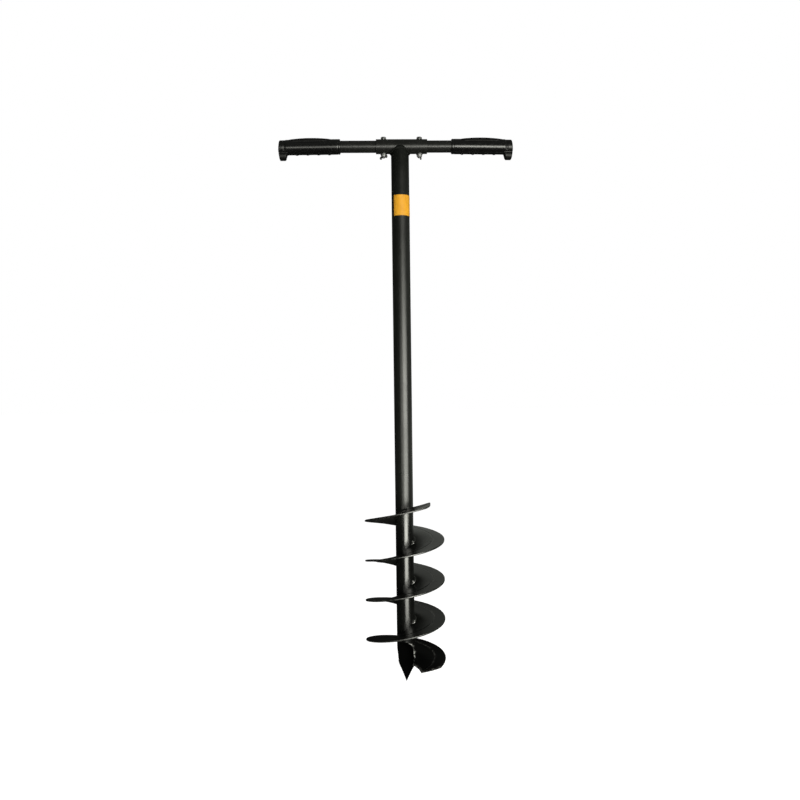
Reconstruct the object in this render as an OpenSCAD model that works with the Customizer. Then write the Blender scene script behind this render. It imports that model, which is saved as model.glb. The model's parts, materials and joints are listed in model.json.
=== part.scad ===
// Hand earth auger: a steel tube with four welded helical flights, a gouge point cut from the same
// tube and butt-welded to its lower end, and a cross sleeve that takes two bolted handles with grips.
// Millimetres. The shaft stands on Z with the point's tip at z = 0, and the handles lie along X.

/* [Shaft] */
// Outside diameter of the shaft tube
shaft_d = 33.7; // [30:0.1:38]
// Wall of the shaft tube
shaft_wall = 2.6; // [2:0.1:4]
// Height of the handle axis above the tip
handle_z = 1014; // [900:1:1100]
// How far the cross sleeve sinks into the saddle at the shaft's top
saddle_depth = 5; // [3:0.5:8]

/* [Point] */
// Height of the gouge point, from its tip up to its joint with the shaft
point_h = 90; // [86:1:100]
// Slope of the point's left edge, from the shaft axis
point_left = 20.5; // [16:0.5:30]
// Slope of the point's right edge, from the shaft axis
point_right = 24.5; // [18:0.5:32]
// Turn of the point about the shaft
point_turn = 4; // [-20:1:20]
// How far behind the shaft axis the scoop's straight cut lies
scoop_set_back = 4.5; // [0:0.5:8]
// Height above the tip where the scoop starts to curve out to the front
scoop_straight = 42; // [38:1:50]
// Radius of the scoop's run-out
scoop_r = 52; // [40:1:80]
// Turn of the scoop's mouth about the shaft, to the left
scoop_turn = 14; // [-20:1:30]

/* [Flights] */
// Diameter of the flights
flight_d = 150; // [120:1:180]
// Thickness of the flight plate
plate_t = 3; // [2:0.5:5]
// Rise of the flights in one turn
flight_pitch = 74.2; // [60:0.1:90]
// Height of the top flight's plate where it points to the right, at angle 0
flight_z = 273.6; // [255:0.1:320]
// Angle of the seams, where one flight's plate is welded to the next
seam_turn = -20; // [-40:1:20]
// Open joint left at a seam, as an angle
seam_gap = 0.3; // [0.1:0.1:1]
// Diameter of the pressed line round each flight
crease_d = 106; // [80:1:112]
// How far the rim lies below the plate inside the pressed line
rim_drop = 0.8; // [0:0.1:2]
// Dip of each flight's inner edge half way round its turn, from the top flight down
plate_dish = [1, 6, 5, 1.5]; // [0:0.5:8]
// Tilt of the flights on the shaft, as they were welded
flight_tilt = 1.1; // [0:0.1:2]
// Angle at which the tilted flights lie highest
tilt_turn = -50; // [-180:1:180]
// Clearance of the plates round the shaft
plate_seat = 0.05; // [0.02:0.01:0.2]

/* [Top end of the flights] */
// Angle of the cut end at the shaft
top_end_shaft = 285; // [270:1:300]
// Angle of the cut end at the pressed line
top_end_crease = 332; // [300:1:335]
// Angle of the cut end at the rim, where the corner is clipped
top_end_rim = 300; // [285:1:320]
// How far the rim of the top plate is pulled up at its free end
top_rise = 5; // [0:0.5:12]
// How far the same rim sags before the pull
top_sag = 1.5; // [0:0.5:6]
// Angle where the sag starts
sag_start = 60; // [40:1:80]
// Angle where the sag is deepest
sag_turn = 110; // [90:1:150]

/* [Cutting lip] */
// Angle of the lip's edge at the shaft, short of a full turn
lip_shaft = -45; // [-60:1:-30]
// Angle of the lip's edge at the pressed line, where it reaches furthest
lip_crease = -61; // [-75:1:-40]
// Angle of the lip's edge at the rim
lip_rim = -33; // [-60:1:-20]
// Angle where the lip's bend starts
lip_bend = -15; // [-25:1:-5]
// How far the lip is bent down
lip_drop = 2; // [0:0.5:8]
// Thickness that the lip is ground to at its edge
lip_edge = 0.8; // [0.4:0.1:2]

/* [Welds] */
// Leg of the fillet welds on the flights
bead_leg = 4.5; // [3:0.5:6]
// Leg of the fillet welds at their two ends
bead_end = 1.1; // [0.5:0.1:2]
// Length of each fillet weld round the shaft, as an angle
bead_sweep = 56; // [30:1:90]
// Angle from the top plate's cut end back to the middle of its weld
top_weld_back = 32; // [28:1:60]
// Angle of the lowest weld's middle, behind the lip
lip_weld_turn = 42; // [38:1:60]
// Leg of the weld between the shaft and the cross sleeve
tee_leg = 3; // [2:0.5:6]
// How far that weld climbs the cross sleeve above the shaft's top
tee_crown = 8; // [5:0.5:9]

/* [Handles] */
// Outside diameter of the handle tubes
tube_d = 22.2; // [20:0.1:25]
// Wall of the handle tubes
tube_wall = 1.5; // [1.2:0.1:2.5]
// Clearance of the handle tubes in the cross sleeve, on the radius
tube_slack = 0.2; // [0.1:0.05:0.4]
// Outside diameter of the cross sleeve
sleeve_d = 27; // [26:0.1:31]
// Length of the cross sleeve
sleeve_len = 96; // [84:1:130]
// How far the cross sleeve's middle lies to the right of the shaft axis
sleeve_shift = 3; // [-5:0.5:5]
// Distance of each handle tube's inner end from the cross sleeve's middle
tube_stop = 5; // [3:0.5:9]
// Length of the left handle tube that shows between the sleeve and the grip
left_show = 67; // [30:1:120]
// Length of the right handle tube that shows between the sleeve and the grip
right_show = 46; // [30:1:120]

/* [Grips] */
// Length of a grip
grip_len = 115.5; // [108:0.5:150]
// Diameter of the grip's round body
grip_d = 28; // [27:0.5:34]
// Droop of the grip's outer shape from the axis of its tube, as an angle
grip_droop = 0.7; // [0:0.1:1]
// Rounding of the grip's inner end
grip_edge = 1.5; // [0.5:0.1:2]
// Width of the collar at the grip's inner end, up to the middle of its groove
collar_w = 4; // [3:0.5:6]
// Width of the collar's groove
collar_gap = 1.4; // [0.8:0.1:2]
// Depth of the collar's groove
collar_depth = 0.5; // [0.3:0.1:1]
// Clearance of the grip on its tube, on the radius
grip_seat = 0.05; // [0.02:0.01:0.15]
// Thickness of the grip's closed end
grip_end = 14; // [13.5:0.5:18]
// Distance of the first finger ridge from the grip's inner end
ridge_first = 20.8; // [12:0.2:24]
// Distance between the finger ridges
ridge_step = 20.2; // [16:0.2:22]
// Number of finger ridges under the grip
ridge_count = 4; // [2:1:4]
// Height of a finger ridge at the lowest point of the grip
ridge_h = 1.1; // [0.5:0.1:2]
// Width of a finger ridge
ridge_w = 6; // [4:0.5:10]
// How far the ridges' hoops are set down from the grip's axis, which keeps them off its sides
ridge_set = 2.6; // [1.5:0.1:3]
// Distance of the thumb pad from the grip's inner end
pad_start = 17; // [8:0.5:20]
// Length of the thumb pad
pad_len = 80; // [60:1:84]
// Height of the thumb pad's crown
pad_h = 2.5; // [1:0.25:5]
// Sweep of the thumb pad round the top, as an angle
pad_sweep = 110; // [60:5:140]
// Width of the hand guard along the grip
guard_w = 15; // [12:0.5:20]
// Drop of the hand guard below the grip's body
guard_drop = 10.5; // [5:0.5:16]
// Radius of the fillet between the grip's body and the hand guard
guard_fillet = 4; // [2:0.5:6]
// Slope of the hand guard's inner face, from its root out to its foot
guard_slope = 2; // [0:0.5:4]
// How far the hand guard's foot stays in from the grip's end
guard_toe = 2; // [0:0.5:5]
// How far the grip's end bulges past its upper edge
end_bulge = 2.2; // [0.5:0.1:3]
// Rounding of the grip's end at its upper edge
end_round = 5; // [2:0.5:7]
// Radius of the hand guard's foot, seen along the handle
guard_foot_r = 9; // [6:0.5:12]
// Rounding of the hand guard's foot at its two ends
guard_edge = 3; // [1:0.5:4]
// Radius of the hollow between the hand guard's round body and its foot
guard_waist = 1; // [0.5:0.5:6]
// Step down from the grip's body to the hand guard's rim
guard_step = 0.6; // [0.3:0.1:1]
// Distance of the guard's grooves from the hand guard's inner face
groove_in = 2; // [1.5:0.1:4]
// Width of the guard's grooves
groove_w = 3.4; // [2:0.1:4]
// Depth of the guard's grooves below the hand guard's rim
groove_depth = 1; // [0.5:0.1:1.5]
// Angle of the groove's lower end, from the bottom of the grip
groove_from = 55; // [45:5:70]
// Sweep of the groove up each side of the grip, as an angle
groove_sweep = 80; // [50:5:100]

/* [Fasteners] */
// Diameter of the handle bolts
bolt_d = 6; // [5:1:8]
// Chamfer of a bolt's end and head
bolt_chamfer = 0.6; // [0.3:0.1:1]
// Length of a bolt below its head
bolt_len = 35; // [34:1:40]
// Width across the flats of a bolt head
head_af = 10; // [8:0.5:13]
// Height of a bolt head
head_h = 4; // [3:0.1:5.5]
// Distance of a bolt from the cross sleeve's end
bolt_inset = 14.3; // [10:0.1:20]
// Clearance of the bolt holes, on the radius
hole_slack = 0.3; // [0.1:0.05:0.6]
// Outside diameter of a washer
washer_d = 12; // [11:0.5:16]
// Thickness of a washer
washer_t = 1.6; // [1:0.1:2]
// Gap above the washer and between washer and wing nut
nut_gap = 0.1; // [0.05:0.05:0.3]
// Clearance of the wing nut on the bolt, on the radius
thread_slack = 0.05; // [0.02:0.01:0.1]
// Diameter of the wing nut's boss at its seat
boss_d = 11; // [10:0.5:13]
// Diameter of the boss at its lower end
boss_end_d = 9.2; // [8:0.2:10]
// Height of the wing nut's boss
boss_h = 4.5; // [3:0.5:6]
// Distance between the tips of the wings
wing_span = 21; // [18:0.5:28]
// Height of the wing nut over its wings
wing_h = 7.4; // [6:0.2:10]
// Diameter of the round ear at the end of a wing
ear_d = 5.6; // [4:0.2:7]
// Width of a wing's neck where it meets its ear
neck_w = 3.7; // [2.5:0.1:4]
// Drop from the wing nut's seat to the upper edge of its wings
wing_drop = 0.7; // [0.3:0.1:1.5]
// Thickness of a wing
wing_t = 1.8; // [1.2:0.1:2.5]
// Turn of the left wing nut at rest
left_nut_turn = -50; // [-90:1:90]
// Turn of the right wing nut at rest
right_nut_turn = 68; // [-90:1:90]

/* [Label] */
// Height of the label
label_h = 38.5; // [20:0.5:80]
// Distance of the label's middle below the handle axis
label_drop = 113.3; // [80:0.1:160]
// Thickness of the label film
label_t = 0.3; // [0.2:0.05:0.5]
// Width of the label, as an angle round the shaft
label_sweep = 160; // [60:5:200]
// Angle of the label's left edge, from the front and to the left
label_left = 48; // [20:1:80]

/* [Hidden] */
$fn = 96;

// Overrun of a cut past the solid that it cuts
over = 1;
// Room under a weld bead for the chords of the plate's own steps
bead_lift = 0.3;
// Share of its leg that a bead's rounded face reaches, outwards and upwards
bead_crown = 0.68;
// Gap between pieces that are welded or glued face to face
weld_gap = 0.02;
// How far the fillet at the hand guard starts below the skin of the grip's body
fillet_sink = 0.3;
// Steps of a rounded corner and of the hand guard's round ends, and facets of a flat long arc
corner_steps = 8;
guard_steps = 28;
long_arc_fn = 240;

shaft_r = shaft_d / 2;
bore_r = shaft_r - shaft_wall;
sleeve_r = sleeve_d / 2;
tube_r = tube_d / 2;
grip_r = grip_d / 2;
guard_r = grip_r - guard_step;
shaft_top = handle_z - sleeve_r + saddle_depth;

// Flights: radii of the shaft edge, the pressed line and the rim, and the steps of one plate
turn = 360;
flight_count = 4;
plate_steps = 72;
skew_steps = 14;
bead_steps = 8;
widest_step = (turn + seam_turn - lip_shaft) / plate_steps;
plate_radii = [shaft_r / cos(widest_step / 2) + plate_seat, crease_d / 2, flight_d / 2];
rim_j = len(plate_radii) - 1;
top_end = [top_end_shaft, top_end_crease, top_end_rim];
lip_end = [lip_shaft, lip_crease, lip_rim];
lowest_turn = -turn * (flight_count - 1);

// Handles
bolt_x = sleeve_len / 2 - bolt_inset;
washer_top = handle_z - sleeve_r - nut_gap;
nut_top = washer_top - washer_t - nut_gap;

paint = [0.07, 0.07, 0.07];
grey_paint = [0.2, 0.2, 0.2];
plastic = [0.05, 0.05, 0.05];
zinc = [0.62, 0.63, 0.64];
orange = [0.93, 0.52, 0.07];

// Heights of the plates at angle a: a steady helix with the lip at the bottom bent down
function helix(a) =
    flight_z + flight_pitch * a / turn
    + lookup(a - lowest_turn, [[lip_crease, -lip_drop], [lip_bend, 0]]);

// What the top plate's rim adds to that, where it sags and is then pulled open
function pull(a) = lookup(a, [[sag_start, 0], [sag_turn, -top_sag], [top_end_rim, top_rise]]);

// Dip of the inner edge at angle a: nothing at the seams and most half way between them
function dip(a) =
    let (turns = (seam_turn - a) / turn, k = ceil(turns))
    k < flight_count ? plate_dish[k] * (1 - cos(turn * turns)) / 2 : 0;

// Height of the mid-plane at angle a and at the j-th radius: the pull grows towards the rim and
// the dip fades out, and the rim lies a little lower than the plate inside the pressed line
function plate_z(a, j) =
    let (r = plate_radii[j], out = (r - plate_radii[0]) / (plate_radii[rim_j] - plate_radii[0]))
    helix(a) + pull(a) * out * out - dip(a) * (1 - out) - (j == rim_j ? rim_drop : 0)
    + r * tan(flight_tilt) * cos(a - tilt_turn);

// Height of the upper face at angle a and radius r, inside the pressed line
function upper_face(a, r) =
    let (share = (r - plate_radii[0]) / (plate_radii[1] - plate_radii[0]))
    plate_z(a, 0) * (1 - share) + plate_z(a, 1) * share + plate_t / 2;

// First and last angle of the k-th flight at the j-th radius, counted from the top
function plate_from(k, j) =
    k == flight_count ? lowest_turn + lip_end[j] : seam_turn - turn * (k - 1);
function plate_to(k, j) =
    k == 1 ? top_end[j] : seam_turn - turn * (k - 2) - seam_gap;

// Angle of the k-th flight at step i and the j-th radius: steady along the shaft, with the skew of
// a slanted end spread over the steps next to it
function plate_turn(k, i, j) =
    let (from = plate_from(k, 0), to = plate_to(k, 0))
    from + (to - from) * i / plate_steps
    + (plate_from(k, j) - from) * max(0, 1 - i / skew_steps)
    + (plate_to(k, j) - to) * max(0, 1 - (plate_steps - i) / skew_steps);

// Thickness of the k-th flight at step i: the lip's first step is ground down to its edge
function plate_thick(k, i) = k == flight_count && i == 0 ? lip_edge : plate_t;

function around(r, a, z) = [r * cos(a), r * sin(a), z];

// Points of an arc, and a closed outline of [x, y, radius] corners with its corners rounded
function arc(centre, r, from, to, steps) =
    [for (i = [0 : steps]) let (a = from + (to - from) * i / steps) centre + r * [cos(a), sin(a)]];
function unit(v) = v / norm(v);
function flat(p) = [p.x, p.y];
function corner(before, at, after, r, steps) =
    let (u = unit(before - at), v = unit(after - at), half = acos(u * v) / 2)
    let (centre = at + unit(u + v) * r / sin(half), reach = r / tan(half))
    let (p = at + u * reach - centre, q = at + v * reach - centre)
    let (from = atan2(p.y, p.x), sweep = (atan2(q.y, q.x) - from + 1.5 * turn) % turn - turn / 2)
    arc(centre, r, from, from + sweep, steps);
function rounded(corners, steps) =
    let (n = len(corners))
    [for (i = [0 : n - 1]) let (c = corners[i]) each c.z == 0 ? [flat(c)] :
        corner(flat(corners[(i + n - 1) % n]), flat(c), flat(corners[(i + 1) % n]), c.z, steps)];

// Triangles of a closed band of rings, each ring with n points, that ends in flat caps
function band_faces(rings, n) = concat(
    [for (i = [0 : rings - 2], p = [0 : n - 1]) let (q = (p + 1) % n)
        [i * n + p, i * n + q, (i + 1) * n + q]],
    [for (i = [0 : rings - 2], p = [0 : n - 1]) let (q = (p + 1) % n)
        [i * n + p, (i + 1) * n + q, (i + 1) * n + p]],
    [for (p = [1 : n - 2]) [0, p + 1, p]],
    [for (p = [1 : n - 2]) let (e = (rings - 1) * n) [e, e + p, e + p + 1]]
);

// One flight: rings of points across the plate, along the underside and back along the top
module flight(k) {
    function at(i, j, top) =
        let (a = plate_turn(k, i, j))
        around(plate_radii[j], a, plate_z(a, j) - plate_t / 2 + (top ? plate_thick(k, i) : 0));
    points = [for (i = [0 : plate_steps]) each concat(
        [for (j = [0 : rim_j]) at(i, j, false)],
        [for (j = [rim_j : -1 : 0]) at(i, j, true)]
    )];
    color(paint)
    polyhedron(points, band_faces(plate_steps + 1, 2 * len(plate_radii)));
}

// A fillet weld on top of the plates, bridging a seam or holding an end, centred at angle mid
module flight_weld(mid) {
    step = bead_sweep / bead_steps;
    inner = shaft_r / cos(step / 2) + plate_seat;
    function ring(i) =
        let (a = mid + bead_sweep * (i / bead_steps - 0.5))
        let (leg = bead_end + (bead_leg - bead_end) * sin(180 * i / bead_steps))
        let (root = upper_face(a, inner) + bead_lift, toe = upper_face(a, inner + leg) + bead_lift)
        [
            around(inner, a, root),
            around(inner + leg, a, toe),
            around(inner + leg * bead_crown, a, root + leg * bead_crown),
            around(inner, a, root + leg)
        ];
    points = [for (i = [0 : bead_steps]) each ring(i)];
    color(paint)
    polyhedron(points, band_faces(bead_steps + 1, 4));
}

module along_x(x, z) {
    translate([x, 0, z])
    rotate([0, 90, 0])
    children();
}

// Outline of the point seen from the front: a V below the full tube
module point_outline() {
    side = shaft_d;
    high = 2 * point_h;
    polygon([
        [0, 0], [side, side / tan(point_right)], [side, high],
        [-side, high], [-side, side / tan(point_left)]
    ]);
}

// The scoop that opens the point: a straight cut behind the axis with a round run-out
module scoop_cut() {
    reach = scoop_r * 2;
    rotate([0, 0, -scoop_turn])
    translate([0, scoop_set_back, 0]) {
        translate([-shaft_d, -reach, -over])
        cube([2 * shaft_d, reach, scoop_straight + over]);
        translate([0, -scoop_r, scoop_straight])
        rotate([0, 90, 0])
        cylinder(r = scoop_r, h = 2 * shaft_d, center = true);
    }
}

// A length of the shaft's tube between two heights
module shaft_tube(low, high) {
    translate([0, 0, low])
    difference() {
        cylinder(r = shaft_r, h = high - low);
        translate([0, 0, -over])
        cylinder(r = bore_r, h = high - low + 2 * over);
    }
}

module main_shaft() {
    color(paint)
    difference() {
        shaft_tube(point_h, shaft_top);
        along_x(0, handle_z)
        cylinder(r = sleeve_r + weld_gap, h = 2 * shaft_d, center = true);
    }
}

module gouge_point() {
    color(paint)
    difference() {
        intersection() {
            shaft_tube(0, point_h - weld_gap);
            rotate([90, 0, -point_turn])
            linear_extrude(height = 2 * shaft_d, center = true)
            point_outline();
        }
        scoop_cut();
    }
}

// Holes for the two handle bolts, through whatever lies on the handle axis
module bolt_holes() {
    for (side = [-1, 1])
        translate([sleeve_shift + side * bolt_x, 0, handle_z])
        cylinder(r = bolt_d / 2 + hole_slack, h = 2 * sleeve_d, center = true);
}

module cross_sleeve() {
    color(grey_paint)
    difference() {
        along_x(sleeve_shift, handle_z)
        difference() {
            cylinder(r = sleeve_r, h = sleeve_len, center = true);
            cylinder(r = tube_r + tube_slack, h = sleeve_len + 2 * over, center = true);
        }
        bolt_holes();
    }
}

// Weld round the saddle: a coned collar trimmed to the skin round the sleeve
module tee_weld() {
    low = handle_z - sleeve_r - tee_leg;
    color(paint)
    difference() {
        intersection() {
            rotate_extrude()
            polygon([
                [0, low], [shaft_r, low], [shaft_r + tee_leg, low + tee_leg],
                [shaft_r + tee_leg / 2, shaft_top], [bore_r, shaft_top + tee_crown],
                [0, shaft_top + tee_crown]
            ]);
            along_x(0, handle_z)
            cylinder(r = sleeve_r + tee_leg, h = 4 * shaft_d, center = true);
        }
        translate([0, 0, low - over])
        cylinder(r = shaft_r + weld_gap, h = shaft_top - low + over + weld_gap);
        along_x(0, handle_z)
        cylinder(r = sleeve_r + weld_gap, h = 4 * shaft_d, center = true);
    }
}

// A handle's own frame: s runs outwards along its axis from the grip's inner end
module handle_frame(side, show) {
    translate([sleeve_shift + side * (sleeve_len / 2 + show), 0, handle_z])
    mirror([side < 0 ? 1 : 0, 0, 0])
    children();
}

module handle_tube(side, show) {
    inner = -(show + sleeve_len / 2 - tube_stop);
    outer = grip_len - grip_end - weld_gap;
    color(grey_paint)
    difference() {
        handle_frame(side, show)
        along_x(inner, 0)
        difference() {
            cylinder(r = tube_r, h = outer - inner);
            translate([0, 0, -over])
            cylinder(r = tube_r - tube_wall, h = outer - inner + 2 * over);
        }
        bolt_holes();
    }
}

// Turned part of the grip, with a rounded inner end and a groove behind its collar
module grip_body() {
    rotate_extrude()
    difference() {
        union() {
            translate([0, grip_edge])
            square([grip_r, grip_len - guard_w - grip_edge + over]);
            square([grip_r - grip_edge, grip_edge + over]);
            translate([grip_r - grip_edge, grip_edge])
            circle(r = grip_edge);
        }
        translate([grip_r - collar_depth, collar_w - collar_gap / 2])
        square([collar_depth + over, collar_gap]);
    }
}

// Lens profile of the thumb pad, revolved round the top of the grip
module thumb_pad() {
    half = pad_len / 2;
    arc_r = (half * half + pad_h * pad_h) / (2 * pad_h);
    rotate([0, 0, 180 - pad_sweep / 2])
    rotate_extrude(angle = pad_sweep)
    intersection() {
        translate([grip_r + pad_h - arc_r, pad_start + half])
        circle(r = arc_r, $fn = long_arc_fn);
        translate([grip_r - over, pad_start - pad_len / 2])
        square([pad_h + 2 * over, 2 * pad_len]);
    }
}

// Finger ridges: hoops smaller than the grip and set down in it, so that they stand proud under it
module finger_ridges() {
    arc_r = (ridge_w * ridge_w / 4 + ridge_h * ridge_h) / (2 * ridge_h);
    hoop_r = grip_r + ridge_h - ridge_set;
    for (i = [0 : ridge_count - 1])
        translate([ridge_set, 0, ridge_first + i * ridge_step])
        rotate_extrude()
        intersection() {
            translate([hoop_r - arc_r, 0])
            circle(r = arc_r, $fn = long_arc_fn);
            translate([hoop_r - 2 * ridge_h, -ridge_w])
            square([3 * ridge_h, 2 * ridge_w]);
        }
}

// The hand guard seen along the handle: the round body and a narrower foot, with a hollow between
module guard_front() {
    foot = grip_r + guard_drop - guard_foot_r;
    body_reach = guard_r + guard_waist;
    foot_reach = guard_foot_r + guard_waist;
    body_turn = acos((foot * foot + body_reach ^ 2 - foot_reach ^ 2) / (2 * foot * body_reach));
    foot_turn = 180 - acos((foot * foot + foot_reach ^ 2 - body_reach ^ 2) / (2 * foot * foot_reach));
    waist = body_reach * [cos(body_turn), sin(body_turn)];
    polygon(concat(
        arc([0, 0], guard_r, body_turn, turn - body_turn, guard_steps),
        arc([waist.x, -waist.y], guard_waist, 180 - body_turn, 180 - foot_turn, corner_steps),
        arc([foot, 0], guard_foot_r, -foot_turn, foot_turn, guard_steps),
        arc(waist, guard_waist, 180 + foot_turn, 180 + body_turn, corner_steps)
    ));
}

// The hand guard seen from the side: a block with a bulged end and a tapered, rounded foot
module guard_side() {
    low = grip_r + guard_drop;
    in = grip_len - guard_w;
    polygon(rounded([
        [-grip_r, in, 0], [grip_r, in, 0], [low, in + guard_slope, guard_edge],
        [low, grip_len - guard_toe, guard_edge], [guard_foot_r, grip_len, grip_r],
        [-guard_r, grip_len - end_bulge, end_round], [-grip_r, grip_len - end_bulge - end_round, 0]
    ], corner_steps));
}

module hand_guard() {
    intersection() {
        linear_extrude(height = grip_len)
        guard_front();
        rotate([90, 0, 0])
        linear_extrude(height = 4 * grip_r, center = true)
        guard_side();
    }
}

// Fillet from the grip's body out to the hand guard, no wider than the guard
module guard_root() {
    in = grip_len - guard_w;
    root = grip_r - over;
    out = grip_r + guard_fillet - fillet_sink;
    intersection() {
        linear_extrude(height = grip_len)
        guard_front();
        rotate_extrude()
        polygon(concat(
            arc([out, in - guard_fillet], guard_fillet, 180, 90, corner_steps),
            [[out, in + over], [root, in + over], [root, in - guard_fillet]]
        ));
    }
}

// Grooves in both sides of the hand guard, where the grip's body ends
module guard_grooves() {
    for (flip = [0, 1])
        mirror([0, flip, 0])
        rotate([0, 0, groove_from])
        rotate_extrude(angle = groove_sweep)
        translate([guard_r - groove_depth, grip_len - guard_w + groove_in])
        square([groove_depth + over, groove_w]);
}

// A grip, turned so that its own Z runs out along the handle and its own X points down. Its outer
// shape droops a little, and the blind bore for the tube is straight
module grip(side, show) {
    color(plastic)
    handle_frame(side, show)
    rotate([0, 90, 0])
    difference() {
        rotate([0, grip_droop, 0]) {
            grip_body();
            thumb_pad();
            finger_ridges();
            guard_root();
            hand_guard();
        }
        rotate([0, grip_droop, 0])
        guard_grooves();
        translate([0, 0, -over])
        cylinder(r = tube_r + grip_seat, h = grip_len - grip_end + over);
    }
}

module at_bolt(side) {
    translate([sleeve_shift + side * bolt_x, 0, 0])
    children();
}

// A hexagon bolt, head up, with a chamfered head and end
module bolt(side) {
    top = handle_z + sleeve_r + weld_gap;
    corner_r = head_af / 2 / cos(30);
    color(zinc)
    at_bolt(side) {
        translate([0, 0, top])
        intersection() {
            cylinder(r = corner_r, h = head_h, $fn = 6);
            cylinder(r1 = corner_r + head_h, r2 = head_af / 2 - bolt_chamfer, h = head_h);
        }
        translate([0, 0, top - bolt_len])
        rotate_extrude()
        polygon([
            [0, 0], [bolt_d / 2 - bolt_chamfer, 0], [bolt_d / 2, bolt_chamfer],
            [bolt_d / 2, bolt_len + over], [0, bolt_len + over]
        ]);
    }
}

module nut_washer(side) {
    color(zinc)
    at_bolt(side)
    translate([0, 0, washer_top - washer_t])
    difference() {
        cylinder(r = washer_d / 2, h = washer_t);
        translate([0, 0, -over])
        cylinder(r = bolt_d / 2 + hole_slack, h = washer_t + 2 * over);
    }
}

// Outline of one wing: a neck from the boss to a round ear, hanging below the seat
module wing_outline() {
    ear_x = (wing_span - ear_d) / 2;
    ear_z = ear_d / 2 - wing_h;
    translate([ear_x, ear_z])
    circle(d = ear_d);
    polygon([
        [bolt_d / 2, -wing_drop], [ear_x, ear_z + neck_w / 2], [ear_x, ear_z - neck_w / 2],
        [bolt_d / 2, wing_drop - boss_h]
    ]);
}

module wing_nut(side, angle) {
    color(zinc)
    at_bolt(side)
    translate([0, 0, nut_top])
    rotate([0, 0, angle])
    difference() {
        union() {
            translate([0, 0, -boss_h])
            cylinder(d1 = boss_end_d, d2 = boss_d, h = boss_h);
            for (flip = [0, 180])
                rotate([90, 0, flip])
                linear_extrude(height = wing_t, center = true)
                wing_outline();
        }
        translate([0, 0, -wing_h - over])
        cylinder(r = bolt_d / 2 + thread_slack, h = wing_h + 2 * over);
    }
}

// The label: a thin film wrapped round the shaft, its left edge near the front
module label() {
    inner = shaft_r + weld_gap;
    color(orange)
    translate([0, 0, handle_z - label_drop - label_h / 2])
    rotate([0, 0, -90 - label_left])
    rotate_extrude(angle = label_sweep)
    translate([inner, 0])
    square([label_t, label_h]);
}

// Angles of the fillet welds: near the top end, at each seam and behind the lip
weld_top = top_end_shaft - top_weld_back;
weld_lip = lowest_turn + lip_weld_turn;

main_shaft();
gouge_point();
cross_sleeve();
tee_weld();
handle_tube(-1, left_show);  // left_handle_tube
handle_tube(1, right_show);  // right_handle_tube
grip(-1, left_show);  // left_grip
grip(1, right_show);  // right_grip
bolt(-1);  // left_bolt
bolt(1);  // right_bolt
nut_washer(-1);  // left_nut_washer
nut_washer(1);  // right_nut_washer
wing_nut(-1, left_nut_turn);  // left_wing_nut
wing_nut(1, right_nut_turn);  // right_wing_nut
flight(1);  // flight_1
flight(2);  // flight_2
flight(3);  // flight_3
flight(4);  // flight_4
flight_weld(weld_top);  // flight_weld_1
flight_weld(seam_turn);  // flight_weld_2
flight_weld(seam_turn - turn);  // flight_weld_3
flight_weld(seam_turn - 2 * turn);  // flight_weld_4
flight_weld(weld_lip);  // flight_weld_5
label();
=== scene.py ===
"""Looks of a hand earth auger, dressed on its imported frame.

+Z is up, the shaft's tip is at the origin and the handles lie along X. The camera, the studio and the
heights on the paint are in metres. The pieces' own sizes are in millimetres and degrees, and become
metres through MM.
"""
import json
import math

import bmesh
import bpy
from mathutils import Matrix, Vector, noise

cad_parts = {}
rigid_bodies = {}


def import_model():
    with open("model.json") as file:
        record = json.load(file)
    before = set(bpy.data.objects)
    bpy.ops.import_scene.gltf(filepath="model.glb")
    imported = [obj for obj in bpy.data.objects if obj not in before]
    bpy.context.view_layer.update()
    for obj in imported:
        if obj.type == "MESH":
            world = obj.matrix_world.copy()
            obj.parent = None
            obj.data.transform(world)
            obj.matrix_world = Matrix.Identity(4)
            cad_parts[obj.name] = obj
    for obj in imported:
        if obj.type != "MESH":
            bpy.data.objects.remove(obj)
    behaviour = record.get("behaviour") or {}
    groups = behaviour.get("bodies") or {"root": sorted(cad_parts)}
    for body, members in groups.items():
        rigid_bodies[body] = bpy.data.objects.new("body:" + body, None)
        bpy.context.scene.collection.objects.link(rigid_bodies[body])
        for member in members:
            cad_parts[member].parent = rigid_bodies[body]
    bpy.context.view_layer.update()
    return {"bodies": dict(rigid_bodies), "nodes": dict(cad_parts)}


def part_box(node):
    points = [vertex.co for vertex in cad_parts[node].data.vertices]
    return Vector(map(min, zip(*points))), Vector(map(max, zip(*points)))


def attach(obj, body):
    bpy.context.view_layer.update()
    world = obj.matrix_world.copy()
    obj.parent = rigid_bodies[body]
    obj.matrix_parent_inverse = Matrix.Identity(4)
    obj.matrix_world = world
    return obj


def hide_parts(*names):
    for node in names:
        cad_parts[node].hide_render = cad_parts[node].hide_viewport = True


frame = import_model()
nodes = frame["nodes"]
MM = 0.001
TURN = 360.0

# Camera as it stood for the photograph, turned by radians
IMAGE_PX = 800
FOCAL_PX = 806.4
SENSOR_MM = 36.0
CAMERA_AT = Vector((-0.0500, -1.5205, 0.5430))
CAMERA_YAW = 0.0292
CAMERA_PITCH = -0.0041
CAMERA_ROLL = -0.0124

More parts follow.
